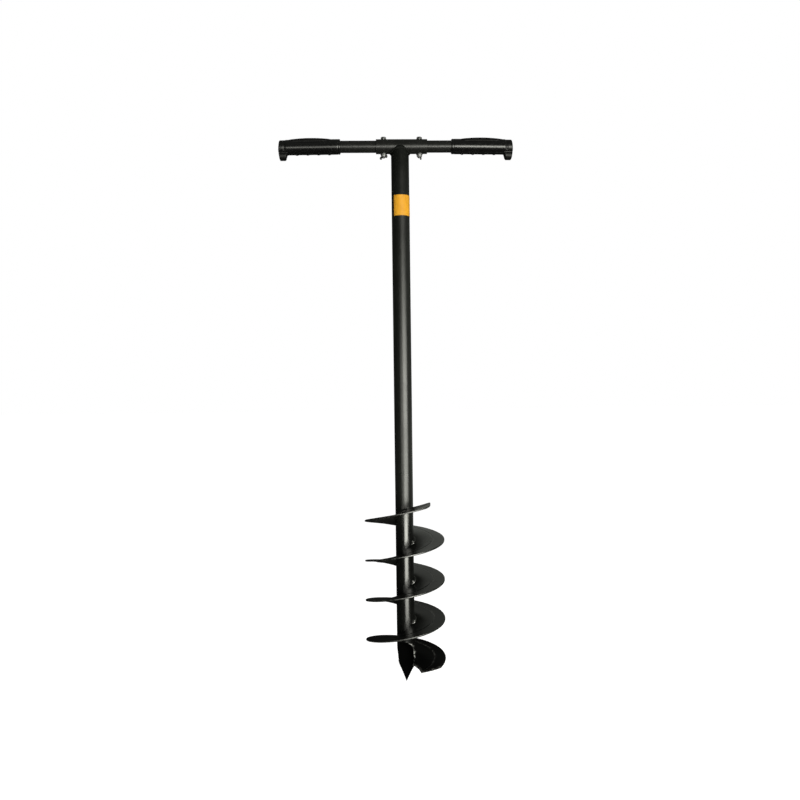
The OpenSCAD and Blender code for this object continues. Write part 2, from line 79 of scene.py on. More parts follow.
# Studio
WORLD_LIGHT = 0.2
LAMP_COLOUR = (1.0, 1.0, 0.91)
CARD_COLOUR = (0.96, 1.0, 0.91)
FLOOR_HALF = 30.0
CARD_REACH = 2.6
CARD_TOP = 2.2
CARD_LIFT = 0.001
LEFT_TONE = 0.06
RIGHT_TONE = 0.22
FRONT_TONE = 0.03
BACK_TONE = 0.03
GLOW_CARD_X = 0.01
GLOW_CARD_Y = 0.16
GLOW_CARD_LOW = 0.12
GLOW_CARD_FULL = 0.33
GLOW_CARD_TOP = 0.5
GLOW_CARD_TONE = 0.37
CEILING_TONE = 0.14
FLOOR_TONE = 0.02
FLOOR_ALBEDO = 0.85
FLOOR_GLOW = 0.86

# Lamps: name, place, height of the shaft that they face, width, height, watts and spread in degrees
LAMPS = [
    ("key", (0.98, -1.85, 0.45), 0.45, 1.9, 0.7, 48.0, 180.0),
    ("upper", (0.60, -2.00, 0.90), 0.90, 1.4, 0.4, 6.5, 180.0),
    ("front", (-0.45, -1.95, 0.45), 0.45, 1.2, 0.5, 7.5, 180.0),
    ("low", (0.16, -0.48, 0.07), 0.12, 0.40, 0.14, 0.5, 90.0),
    ("flight", (0.16, -0.48, 0.21), 0.26, 0.40, 0.14, 0.68, 90.0),
]

# Flights, as they were pressed, dished and welded
FLIGHT_COUNT = 4
PITCH = 74.2
FLIGHT_Z = 273.6
SEAM_TURN = -20.0
SEAM_GAP = 0.3
R_IN = 16.92
R_CREASE = 53.0
R_RIM = 75.0
PLATE_T = 3.0
RIM_DROP = 0.8
PLATE_DISH = [1.0, 6.0, 5.0, 1.5]
TILT = 1.1
TILT_TURN = -50.0
TOP_END = [285.0, 332.0, 300.0]
TOP_RISE = 5.0
TOP_SAG = 1.5
SAG_START = 60.0
SAG_TURN = 110.0
LIP_END = [-45.0, -61.0, -33.0]
LIP_BEND = -15.0
LIP_DROP = 2.0
LIP_EDGE = 0.8
GROUND_SHARE = 1 / 72
SKEW_SHARE = 14 / 72
LOWEST_TURN = -TURN * (FLIGHT_COUNT - 1)

# Finer forms of the flights: stations on a plate, rounded rim, the pressed line's groove and the wear
PLATE_STEPS = 288
PLATE_RADII = [20, 25, 30, 35, 40, 45]
CREASE_STEPS = [-4, -2, -1.2, -0.6, 0, 0.6, 1.2, 2, 4, 8, 13, 17, 20]
RIM_ROUND = 0.9
RIM_STEPS = 4
GROOVE_DEPTH = 0.6
GROOVE_W = 1.1
RIM_WEAR = 0.06
RIM_WEAR_W = 1.2
LIP_WEAR = 0.3
CREASE_WEAR = 0.15

# Fillet welds on the flights
BEAD_LEG = 4.5
BEAD_END = 1.1
BEAD_SWEEP = 56.0
BEAD_RINGS = 84
BEAD_ARC = 9
BEAD_SINK = 0.4
BEAD_TAPER = 0.7
BEAD_BULGE = 1.1
BEAD_EVEN = 0.86
BEAD_UNEVEN = 0.12
BEAD_RIPPLE = 1.7
BEAD_GRAIN = 0.35
BEAD_GRAIN_SHIFT = 7.3
BEAD_BLOB = 0.2
BEAD_BLOB_W = 0.05
BEAD_BLOB_H = 0.2
# Painted glint on bare weld metal, at each bead's blob
BEAD_GLINT_AND_WEAR = 0.9
TOP_WELD_TURN = 253.0
LIP_WELD_TURN = LOWEST_TURN + 42.0

# Weld under the sleeve
TEE_VOXEL = 0.5
TEE_RIPPLES = 22
TEE_RIPPLE_H = 0.1
TEE_GRAIN = 0.26
TEE_LUMP = 0.22
TEE_SINK = 0.1

# Gouge point: the scoop's cut, its rough edge and the bare steel on its right side, painted bright as a
# glint
BORE_R = 14.25
BORE_FADE = (0.3, 1.0)
SCOOP_TURN = 14.0
SCOOP_SET_BACK = 4.5
SCOOP_STRAIGHT = 42.0
SCOOP_R = 52.0
POINT_VOXEL = 0.4
CUT_W = 1.3
CUT_GRAIN = 0.42
CUT_LUMP = 0.35
CUT_SINK = 0.15
# Painted glint on bare steel, only on the right side of the cut edge
BRIGHT_ACROSS = (3.0, 6.0)
BRIGHT_LUMPS = (-0.35, 0.1)

# Bolts and wing nuts
BOLT_R = 3.0
BOLT_CHAMFER = 0.6
BOLT_SIDES = 48
HEAD_AF = 10.0
HEAD_H = 4.0
HEAD_RINGS = (0.0, 0.5, 0.7, 0.76, 0.82, 0.88, 0.94, 1.0)
THREAD_PITCH = 1.0
THREAD_DEPTH = 0.55
THREAD_LEN = 20.0
THREAD_RUN_OUT = 2.0
THREAD_RINGS = 10
NUT_VOXEL = 0.22

# Grips
GRIP_R = 14.0
GRIP_SKIN = 2.0
GRIP_DROOP = 0.7
GRIP_VOXEL = 0.55
PAD_START = 17.0
PAD_LEN = 80.0
PAD_REACH = 48.0
PAD_REACH_MID = 80.0
PAD_EDGE = 0.5
RIB_PITCH = 3.4
RIB_H = 0.6
RIB_FLOOR = 0.4
RIB_EDGE = 6.0
GUARD_W = 15.0
GUARD_EDGE = 1.0
GUARD_DULL = 0.35
FOOT_EDGE = 2.0
FOOT_DULL = 0.7

# Paint: painted shade and a smoother finish low on the shaft, dull with spray under the tee, painted
# shade and a duller finish at the lip and the point
NOISE_SPAN = (0.3, 0.7)
NOISE_DETAIL = 4.0
PLAIN_SHINE = 0.5
SHADE_AND_RUB_HEIGHTS = (0.29, 0.34)
RUBBED_SMOOTH = 0.11
# Painted shade at the foot of the shaft
LOW_SHADE = 0.8
SPRAY_HEIGHTS = (0.90, 0.98)
SPRAY_SHINE = 0.18
TEE_SHINE = 0.1175
TEE_COARSE = 0.42
# The flights, their welds, the lip and the point take the tube's enamel darker: painted shade
FLIGHT_SHADE = 0.4
SHADE_TONE = 0.0008
DULL_COARSE = 0.1
# Painted shade and a duller gloss at the start of the lowest flight and all over the point
LIP_SHADE = 0.85
LIP_SHADE_FADE = (0.6, 0.95)
POINT_SHADE = 0.8


class Shader:
    """A principled material, with short calls for the nodes that feed it."""

    def __init__(self, name, **constants):
        self.material = bpy.data.materials.new(name)
        self.material.use_nodes = True
        self.tree = self.material.node_tree
        self.principled = self.tree.nodes["Principled BSDF"]
        for socket, value in constants.items():
            self.principled.inputs[socket.replace("_", " ")].default_value = value
        self.place = self.add("ShaderNodeTexCoord").outputs["Object"]

    def add(self, kind, **settings):
        node = self.tree.nodes.new(kind)
        for name, value in settings.items():
            setattr(node, name, value)
        return node

    def feed(self, socket, source):
        self.tree.links.new(source, self.principled.inputs[socket])

    def stretched(self, x, y, z):
        node = self.add("ShaderNodeMapping")
        node.inputs["Scale"].default_value = (x, y, z)
        self.tree.links.new(self.place, node.inputs["Vector"])
        return node.outputs["Vector"]

    def height(self):
        """Height in metres of a place on the object."""
        node = self.add("ShaderNodeSeparateXYZ")
        self.tree.links.new(self.place, node.inputs["Vector"])
        return node.outputs["Z"]

    def noise(self, size, detail, place=None):
        """Noise whose patches are about size metres across."""
        node = self.add("ShaderNodeTexNoise")
        node.inputs["Scale"].default_value = 1 / size
        node.inputs["Detail"].default_value = detail
        self.tree.links.new(place or self.place, node.inputs["Vector"])
        return node.outputs["Fac"]

    def attribute(self, name):
        return self.add("ShaderNodeAttribute", attribute_name=name).outputs["Fac"]

    def remap(self, value, from_low, from_high, to_low, to_high):
        node = self.add("ShaderNodeMapRange")
        self.tree.links.new(value, node.inputs["Value"])
        node.inputs["From Min"].default_value = from_low
        node.inputs["From Max"].default_value = from_high
        node.inputs["To Min"].default_value = to_low
        node.inputs["To Max"].default_value = to_high
        return node.outputs["Result"]

    def ramp(self, value, *stops):
        """Colours at places between 0 and 1."""
        node = self.add("ShaderNodeValToRGB")
        elements = node.color_ramp.elements
        while len(elements) < len(stops):
            elements.new(1.0)
        for element, (at, colour) in zip(elements, stops):
            element.position = at
            element.color = (*colour, 1.0)
        self.tree.links.new(value, node.inputs["Fac"])
        return node.outputs["Color"]

    def vary(self, size, low, high, detail=NOISE_DETAIL):
        """A number that drifts between low and high in patches of about size metres."""
        return self.remap(self.noise(size, detail), *NOISE_SPAN, low, high)

    def drift(self, size, dark, light, detail=NOISE_DETAIL):
        """A colour that drifts between dark and light in patches of about size metres."""
        start, end = NOISE_SPAN
        return self.ramp(self.noise(size, detail), (start, dark), (end, light))

    def specks(self, size, span, most, place=None):
        """Specks of about size metres, which go from none to most over a span of the noise."""
        return self.remap(self.noise(size, NOISE_DETAIL, place), *span, 0.0, most)

    def mix(self, share, first, second):
        """A colour between two others, each of them a link or a plain colour."""
        node = self.add("ShaderNodeMix", data_type="RGBA")
        self.tree.links.new(share, node.inputs["Factor"])
        for socket, value in ((node.inputs[6], first), (node.inputs[7], second)):
            if isinstance(value, tuple):
                socket.default_value = (*value, 1.0)
            else:
                self.tree.links.new(value, socket)
        return node.outputs[2]

    def math(self, operation, first, second):
        node = self.add("ShaderNodeMath", operation=operation)
        for socket, value in zip(node.inputs, (first, second)):
            if isinstance(value, float):
                socket.default_value = value
            else:
                self.tree.links.new(value, socket)
        return node.outputs["Value"]

    def bump(self, height, depth, under=None):
        """A bump of about depth metres, on top of another bump if one is given."""
        node = self.add("ShaderNodeBump")
        node.inputs["Distance"].default_value = depth
        self.tree.links.new(height, node.inputs["Height"])
        if under is not None:
            self.tree.links.new(under, node.inputs["Normal"])
        return node.outputs["Normal"]


def grey(level):
    return (level, level, level)


def black_enamel(name, tone=1.0, shine=PLAIN_SHINE, coarse=0.0, shaded=False, along_tube=False):
    """Satin black enamel: slow colour drift, orange peel, dust specks, rubbed bare edges and painted
    glints.

    tone scales its colour, and shine and coarse set its gloss. The flag for the lip and the point
    makes it blacker by painted shade and duller, as far as a point attribute says. along_tube paints it
    black as shade at the foot of the shaft, where it is also smoother, and dull with spray under the
    tee.
    """
    shader = Shader(name, IOR=1.5, Specular_IOR_Level=shine)
    dark = tuple(tone * part for part in (0.0034, 0.0039, 0.0032))
    light = tuple(tone * part for part in (0.0056, 0.0062, 0.0052))
    dust = shader.specks(0.0022, (0.68, 0.76), 0.35)
    colour = shader.mix(dust, shader.drift(0.05, dark, light, 3.0), (0.035, 0.036, 0.033))
    polish = shader.vary(0.03, 0.27 + coarse, 0.35 + coarse, 5.0)
    if shaded:
        # Painted shade: blacker colour, and a duller gloss, as far as the attribute says
        shade_and_dull = shader.attribute("shade_and_dull")
        colour = shader.mix(shade_and_dull, colour, grey(SHADE_TONE))
        polish = shader.math("ADD", polish, shader.math("MULTIPLY", shade_and_dull, DULL_COARSE))
        shader.feed("Specular IOR Level", shader.remap(shade_and_dull, 0.0, 1.0, PLAIN_SHINE, 0.0))
    if along_tube:
        height = shader.height()
        # Painted shade: black at the foot of the shaft between the flights, where the paint is also
        # smoother
        foot_shade = shader.remap(height, *SHADE_AND_RUB_HEIGHTS, LOW_SHADE, 0.0)
        colour = shader.mix(foot_shade, colour, grey(SHADE_TONE))
        polish = shader.math("ADD", polish, shader.remap(height, *SHADE_AND_RUB_HEIGHTS, -RUBBED_SMOOTH, 0.0))
        shader.feed("Specular IOR Level", shader.remap(height, *SPRAY_HEIGHTS, PLAIN_SHINE, SPRAY_SHINE))
    # Bare-steel grey in specks on rubbed edges, and as painted glints at the weld blobs and the point's
    # cut edge
    scuffs = shader.specks(0.004, (0.42, 0.62), 1.0)
    worn_and_glinting = shader.math("MULTIPLY", shader.attribute("wear_and_glint"), scuffs)
    shader.feed("Base Color", shader.mix(worn_and_glinting, colour, (0.30, 0.30, 0.29)))
    shader.feed("Roughness", polish)
    peel = shader.bump(shader.noise(0.0016, 1.0), 0.000005)
    shader.feed("Normal", shader.bump(shader.noise(0.012, 1.0), 0.00003, peel))
    return shader.material


def handle_paint():
    """Dull dark grey paint with a fine tooth."""
    shader = Shader("handle_paint", IOR=1.45)
    drift = shader.drift(0.03, (0.0050, 0.0052, 0.0047), (0.0085, 0.0087, 0.0080))
    dust = shader.specks(0.0015, (0.66, 0.75), 0.4)
    shader.feed("Base Color", shader.mix(dust, drift, (0.05, 0.05, 0.048)))
    shader.feed("Roughness", shader.vary(0.006, 0.30, 0.38))
    shader.feed("Normal", shader.bump(shader.noise(0.0012, 1.0), 0.000003))
    return shader.material


def grip_plastic():
    """Black moulded plastic with a fine spark-eroded grain, duller where the dull attribute says so."""
    shader = Shader("grip_plastic", IOR=1.5)
    shader.feed("Base Color", shader.drift(0.02, (0.0022, 0.0022, 0.0023), (0.0038, 0.0038, 0.0038)))
    dull = shader.attribute("dull")
    polish = shader.vary(0.004, 0.20, 0.28)
    shader.feed("Roughness", shader.math("ADD", polish, shader.math("MULTIPLY", dull, 0.3)))
    shader.feed("Specular IOR Level", shader.remap(dull, 0.0, 1.0, PLAIN_SHINE, 0.2))
    shader.feed("Normal", shader.bump(shader.noise(0.0008, 1.0), 0.0000012))
    return shader.material


def zinc(name, dark, light, coarse):
    """Zinc with cloudy patches, dull spots and fine turning lines."""
    shader = Shader(name, Metallic=1.0)
    clouds = shader.drift(0.004, (dark, 1.02 * dark, 1.04 * dark), grey(light))
    spots = shader.specks(0.0014, (0.62, 0.74), 0.6)
    shader.feed("Base Color", shader.mix(spots, clouds, (0.60 * dark, 0.58 * dark, 0.55 * dark)))
    shader.feed("Roughness", shader.vary(0.003, 0.17 + coarse, 0.32 + coarse))
    lines = shader.noise(0.0006, 2.0, shader.stretched(0.3, 0.3, 3.0))
    shader.feed("Normal", shader.bump(lines, 0.00002))
    return shader.material


def label_film():
    """Plain orange vinyl film, a little faded and scuffed."""
    shader = Shader("label_film", IOR=1.46)
    fade = shader.drift(0.012, (0.57, 0.255, 0.012), (0.64, 0.305, 0.018))
    scuffs = shader.specks(0.0018, (0.66, 0.76), 0.3, shader.stretched(1.0, 1.0, 0.35))
    shader.feed("Base Color", shader.mix(scuffs, fade, (0.68, 0.45, 0.10)))
    shader.feed("Roughness", shader.vary(0.005, 0.30, 0.42))
    shader.feed("Normal", shader.bump(shader.noise(0.006, 2.0), 0.00004))
    return shader.material


# The flights' enamel is the tube's, made darker as painted shade
MATERIALS = {
    "shaft_paint": black_enamel("shaft_paint", FLIGHT_SHADE),
    "handle_paint": handle_paint(),
    "grip_plastic": grip_plastic(),
    "zinc": zinc("zinc", 0.34, 0.48, 0.12),
    "label_film": label_film(),
}
CAST_ZINC = zinc("cast_zinc", 0.22, 0.34, 0.38)
# The point and the lowest flight take painted shade and a duller gloss, and the tube takes painted shade
# at its foot
SPECIAL_FINISH = {
    "main_shaft": black_enamel("tube_paint", along_tube=True),
    "gouge_point": black_enamel("point_paint", FLIGHT_SHADE, shaded=True),
    "tee_weld": black_enamel("weld_paint", shine=TEE_SHINE, coarse=TEE_COARSE),
    f"flight_{FLIGHT_COUNT}": black_enamel("lip_paint", FLIGHT_SHADE, shaded=True),
    "left_wing_nut": CAST_ZINC,
    "right_wing_nut": CAST_ZINC,
}


def slot_of(node):
    return nodes[node].material_slots[0].material.name.split(".")[0]


def body_of(node):
    return next(name for name, body in frame["bodies"].items() if nodes[node].parent == body)


SLOTS = {node: slot_of(node) for node in nodes}


def finish_of(node):
    return SPECIAL_FINISH.get(node) or MATERIALS[SLOTS[node]]


def put(name, mesh):
    thing = bpy.data.objects.new(name, mesh)
    bpy.context.scene.collection.objects.link(thing)
    return thing


def stand_in(name, mesh, node, sharp):
    """Puts a finer piece in place of a CAD node, on the same body and in the same finish.

    Edges that bend by more than sharp degrees stay sharp.
    """
    mesh.shade_smooth()
    mesh.set_sharp_from_angle(angle=math.radians(sharp))
    mesh.materials.clear()
    mesh.materials.append(finish_of(node))
    thing = put(name, mesh)
    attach(thing, body_of(node))
    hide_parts(node)


def mesh_from(name, points, faces):
    mesh = bpy.data.meshes.new(name)
    mesh.from_pydata(points, [], faces)
    work = bmesh.new()
    work.from_mesh(mesh)
    bmesh.ops.recalc_face_normals(work, faces=work.faces)
    work.to_mesh(mesh)
    work.free()
    return mesh


def ring_faces(rings, sides):
    """Faces of a tube of rings with as many points as it has sides, closed at both ends."""
    faces = []
    for i in range(rings - 1):
        here = i * sides
        there = here + sides
        for m in range(sides):
            after = (m + 1) % sides
            faces.append((here + m, here + after, there + after, there + m))
    last = (rings - 1) * sides
    return [*faces, tuple(range(sides)), tuple(range(last, last + sides))]


def paint_map(mesh, name, values):
    """A number for each point of a mesh, for its finish to follow."""
    mesh.attributes.new(name, "FLOAT", "POINT").data.foreach_set("value", values)


def around(r, a, z):
    """A point in metres from a radius, an angle in degrees and a height in millimetres."""
    turn = math.radians(a)
    return (r * math.cos(turn) * MM, r * math.sin(turn) * MM, z * MM)


def lookup(at, table):
    """Straight lines between (place, value) pairs, level beyond both ends."""
    if at <= table[0][0]:
        return table[0][1]
    for (x0, y0), (x1, y1) in zip(table, table[1:]):
        if at <= x1:
            return y0 + (y1 - y0) * (at - x0) / (x1 - x0)
    return table[-1][1]


def eased(value, low, high):
    """0 below low, 1 above high and a smooth step between."""
    share = min(1.0, max(0.0, (value - low) / (high - low)))
    return share * share * (3 - 2 * share)


def make_camera():
    data = bpy.data.cameras.new("camera")
    data.sensor_width = SENSOR_MM
    data.lens = FOCAL_PX * SENSOR_MM / IMAGE_PX
    data.clip_start = 0.01
    camera = bpy.data.objects.new("camera", data)
    bpy.context.scene.collection.objects.link(camera)
    level = math.cos(CAMERA_PITCH)
    ahead = Vector((
        math.sin(CAMERA_YAW) * level, math.cos(CAMERA_YAW) * level, math.sin(CAMERA_PITCH),
    ))
    flat_right = Vector((math.cos(CAMERA_YAW), -math.sin(CAMERA_YAW), 0.0))
    flat_up = flat_right.cross(ahead)
    right = math.cos(CAMERA_ROLL) * flat_right + math.sin(CAMERA_ROLL) * flat_up
    up = math.cos(CAMERA_ROLL) * flat_up - math.sin(CAMERA_ROLL) * flat_right
    turn = Matrix((right, up, -ahead)).transposed().to_4x4()
    camera.matrix_world = Matrix.Translation(CAMERA_AT) @ turn
    bpy.context.scene.camera = camera


def seen_share(tree):
    """1 for what the camera sees, straight or mirrored or through glass, and 0 for lighting."""
    path = tree.nodes.new("ShaderNodeLightPath")
    total = path.outputs["Is Camera Ray"]
    for ray in ("Is Glossy Ray", "Is Transmission Ray"):
        add = tree.nodes.new("ShaderNodeMath")
        add.operation = "MAXIMUM"
        tree.links.new(total, add.inputs[0])
        tree.links.new(path.outputs[ray], add.inputs[1])
        total = add.outputs["Value"]
    return total


def make_world():
    """White where it is seen, and a soft even light on the object."""
    world = bpy.data.worlds.new("studio")
    bpy.context.scene.world = world
    world.use_nodes = True
    tree = world.node_tree
    tree.nodes.clear()
    lit = tree.nodes.new("ShaderNodeBackground")
    lit.inputs["Strength"].default_value = WORLD_LIGHT
    seen = tree.nodes.new("ShaderNodeBackground")
    seen.inputs["Strength"].default_value = 1.0
    for background in (lit, seen):
        background.inputs["Color"].default_value = (1.0, 1.0, 1.0, 1.0)
    mix = tree.nodes.new("ShaderNodeMixShader")
    tree.links.new(seen_share(tree), mix.inputs["Fac"])
    tree.links.new(lit.outputs["Background"], mix.inputs[1])
    tree.links.new(seen.outputs["Background"], mix.inputs[2])
    out = tree.nodes.new("ShaderNodeOutputWorld")
    tree.links.new(mix.outputs["Shader"], out.inputs["Surface"])


def level_corners(reach, z):
    """Corners of a level square that reaches as far on every side of the shaft."""
    return [(-reach, -reach, z), (reach, -reach, z), (reach, reach, z), (-reach, reach, z)]


def bare_material(name, mesh):
    """Gives a mesh an empty material, and returns the node tree that is to fill it."""
    material = bpy.data.materials.new(name)
    material.use_nodes = True
    material.node_tree.nodes.clear()
    mesh.materials.append(material)
    return material.node_tree


def make_floor():
    """A pale floor that takes the object's shadow and runs into the white behind it."""
    mesh = mesh_from("floor", level_corners(FLOOR_HALF, 0.0), [(0, 1, 2, 3)])
    floor = put("floor", mesh)
    tree = bare_material("floor", mesh)
    matt = tree.nodes.new("ShaderNodeBsdfDiffuse")
    matt.inputs["Color"].default_value = (*grey(FLOOR_ALBEDO), 1.0)
    glow = tree.nodes.new("ShaderNodeEmission")
    scale = tree.nodes.new("ShaderNodeMath")
    scale.operation = "MULTIPLY"
    scale.inputs[1].default_value = FLOOR_GLOW
    tree.links.new(seen_share(tree), scale.inputs[0])
    tree.links.new(scale.outputs["Value"], glow.inputs["Strength"])
    total = tree.nodes.new("ShaderNodeAddShader")
    tree.links.new(matt.outputs["BSDF"], total.inputs[0])
    tree.links.new(glow.outputs["Emission"], total.inputs[1])
    out = tree.nodes.new("ShaderNodeOutputMaterial")
    tree.links.new(total.outputs["Shader"], out.inputs["Surface"])


def make_lamp(name, at, aim, width, height, power, spread):
    """A rectangular lamp that faces the shaft at the height aim."""
    data = bpy.data.lights.new(name, "AREA")
    data.shape = "RECTANGLE"
    data.size = width
    data.size_y = height
    data.energy = power
    data.spread = math.radians(spread)
    data.color = LAMP_COLOUR
    lamp = bpy.data.objects.new(name, data)
    bpy.context.scene.collection.objects.link(lamp)
    lamp.location = at
    ahead = Vector((0.0, 0.0, aim)) - Vector(at)
    lamp.rotation_euler = ahead.to_track_quat("-Z", "Y").to_euler()
    lamp.visible_camera = False


def make_card(name, corners, tone, fade=None):
    """A dim card that shows only in the object's reflections, as in a product studio.

    A pair of heights as fade makes it go from black up to its tone between them.
    """
    mesh = mesh_from(name, corners, [(0, 1, 2, 3)])
    card = put(name, mesh)
    tree = bare_material(name, mesh)
    glow = tree.nodes.new("ShaderNodeEmission")
    glow.inputs["Color"].default_value = (*CARD_COLOUR, 1.0)
    glow.inputs["Strength"].default_value = tone
    if fade:
        place = tree.nodes.new("ShaderNodeTexCoord")
        split = tree.nodes.new("ShaderNodeSeparateXYZ")
        rise = tree.nodes.new("ShaderNodeMapRange")
        rise.inputs["From Min"].default_value = fade[0]
        rise.inputs["From Max"].default_value = fade[1]
        rise.inputs["To Max"].default_value = tone
        tree.links.new(place.outputs["Object"], split.inputs["Vector"])
        tree.links.new(split.outputs["Z"], rise.inputs["Value"])
        tree.links.new(rise.outputs["Result"], glow.inputs["Strength"])
    out = tree.nodes.new("ShaderNodeOutputMaterial")
    tree.links.new(glow.outputs["Emission"], out.inputs["Surface"])
    card.visible_camera = False
    card.visible_diffuse = False
    card.visible_shadow = False


def make_tent():
    """Cards on every side of the object, so that the black paint stays black."""
    low, high = (-CARD_REACH, CARD_REACH)
    top = CARD_TOP
    walls = {
        "left": (((low, low), (low, high)), LEFT_TONE),
        "right": (((high, low), (high, high)), RIGHT_TONE),
        "front": (((low, low), (high, low)), FRONT_TONE),
        "back": (((low, high), (high, high)), BACK_TONE),
    }
    for name, ((first, second), tone) in walls.items():
        corners = [(*first, 0.0), (*second, 0.0), (*second, top), (*first, top)]
        make_card(f"{name}_card", corners, tone)
    y = GLOW_CARD_Y
    foot, head = (GLOW_CARD_LOW, GLOW_CARD_TOP)
    side = GLOW_CARD_X
    corners = [(side, y, foot), (high, y, foot), (high, y, head), (side, y, head)]
    make_card("glow_card", corners, GLOW_CARD_TONE, (foot, GLOW_CARD_FULL))
    for name, z, tone in (("floor_card", CARD_LIFT, FLOOR_TONE), ("ceiling_card", top, CEILING_TONE)):
        make_card(name, level_corners(CARD_REACH, z), tone)


def make_studio():
    make_world()
    make_floor()
    make_tent()
    for lamp in LAMPS:
        make_lamp(*lamp)


def helix(a):
    """Height of the plain helix at an angle, bent down towards the lip."""
    bend = lookup(a - LOWEST_TURN, [(LIP_END[1], -LIP_DROP), (LIP_BEND, 0.0)])
    return FLIGHT_Z + PITCH * a / TURN + bend


def pull(a):
    """How far the rim of the top plate sags and is then pulled up at an angle."""
    return lookup(a, [(SAG_START, 0.0), (SAG_TURN, -TOP_SAG), (TOP_END[2], TOP_RISE)])


def dip(a):
    """How far a plate is dished at the shaft, most of all halfway between its seams."""
    turns = (SEAM_TURN - a) / TURN
    k = math.ceil(turns)
    return PLATE_DISH[k] * (1 - math.cos(math.tau * turns)) / 2 if k < FLIGHT_COUNT else 0.0


def plate_height(a, r):
    """Height of the plates' mid-plane at an angle and a radius."""
    out = (r - R_IN) / (R_RIM - R_IN)
    past_crease = max(0.0, (r - R_CREASE) / (R_RIM - R_CREASE))
    lean = r * math.tan(math.radians(TILT)) * math.cos(math.radians(a - TILT_TURN))
    return helix(a) + pull(a) * out * out - dip(a) * (1 - out) - RIM_DROP * past_crease + lean


def plate_ends(k, r):
    """First and last angle of the k-th flight at a radius, counted from the top."""
    radii = (R_IN, R_CREASE, R_RIM)
    first = SEAM_TURN - TURN * (k - 1)
    last = SEAM_TURN - TURN * (k - 2) - SEAM_GAP
    if k == FLIGHT_COUNT:
        first = LOWEST_TURN + lookup(r, list(zip(radii, LIP_END)))
    if k == 1:
        last = lookup(r, list(zip(radii, TOP_END)))
    return first, last


def plate_turn(k, share, r):
    """Angle at a share of the k-th flight: the skew of a slanted end fades along the plate."""
    first, last = plate_ends(k, R_IN)
    first_here, last_here = plate_ends(k, r)
    steady = first + (last - first) * share
    start_skew = (first_here - first) * max(0.0, 1 - share / SKEW_SHARE)
    end_skew = (last_here - last) * max(0.0, 1 - (1 - share) / SKEW_SHARE)
    return steady + start_skew + end_skew


def plate_stations():
    """Radii across a plate, each with how far the rounded rim has fallen there."""
    inside = [R_IN, *PLATE_RADII, *(R_CREASE + step for step in CREASE_STEPS)]
    stations = [(r, 0.0) for r in inside]
    for step in range(RIM_STEPS + 1):
        roll = math.radians(90 * step / RIM_STEPS)
        fall = RIM_ROUND * (1 - math.cos(roll))
        stations.append((R_RIM - RIM_ROUND * (1 - math.sin(roll)), fall))
    return stations


def plate_faces(count):
    """Faces of a plate whose sections have count points above and count points below."""
    ring = 2 * count
    faces = []
    for i in range(PLATE_STEPS):
        here = i * ring
        there = here + ring
        for m in range(count - 1):
            low = here + count + m
            low_there = there + count + m
            faces.append((here + m, here + m + 1, there + m + 1, there + m))
            faces.append((low, low_there, low_there + 1, low + 1))
        faces.append((here + count - 1, here + ring - 1, there + ring - 1, there + count - 1))
        faces.append((here, there, there + count, here + count))
    for end in (0, PLATE_STEPS * ring):
        for m in range(count - 1):
            faces.append((end + m, end + m + 1, end + count + m + 1, end + count + m))
    return faces


def flight_plate(k):
    """The k-th flight from the top, as sections of its upper and lower side from its lower end up."""
    stations = plate_stations()
    count = len(stations)
    points = []
    wear_and_glint = []
    shade_and_dull = []
    for i in range(PLATE_STEPS + 1):
        share = i / PLATE_STEPS
        ground = min(1.0, share / GROUND_SHARE) if k == FLIGHT_COUNT else 1.0
        thick = LIP_EDGE + (PLATE_T - LIP_EDGE) * ground
        upper = []
        lower = []
        for r, fall in stations:
            a = plate_turn(k, share, r)
            groove = GROOVE_DEPTH * math.exp(-(((r - R_CREASE) / GROOVE_W) ** 2))
            base = plate_height(a, r) - PLATE_T / 2 - groove
            roll = fall * thick / PLATE_T
            upper.append(around(r, a, base + thick - roll))
            lower.append(around(r, a, base + roll))
            crease = CREASE_WEAR * math.exp(-((r - R_CREASE - GROOVE_W) ** 2))
            rim = RIM_WEAR * math.exp((r - R_RIM) / RIM_WEAR_W)
            wear_and_glint.append(max(rim, LIP_WEAR * (1 - ground), crease))
        points += upper + lower
        wear_and_glint += wear_and_glint[-count:]
        # Painted shade and a duller gloss on the start of the lowest flight
        shade_and_dull += [LIP_SHADE * (1 - eased(share, *LIP_SHADE_FADE))] * 2 * count
    mesh = mesh_from(f"flight_plate_{k}", points, plate_faces(count))
    paint_map(mesh, "wear_and_glint", wear_and_glint)
    if k == FLIGHT_COUNT:
        paint_map(mesh, "shade_and_dull", shade_and_dull)
    stand_in(f"flight_plate_{k}", mesh, f"flight_{k}", sharp=35.0)


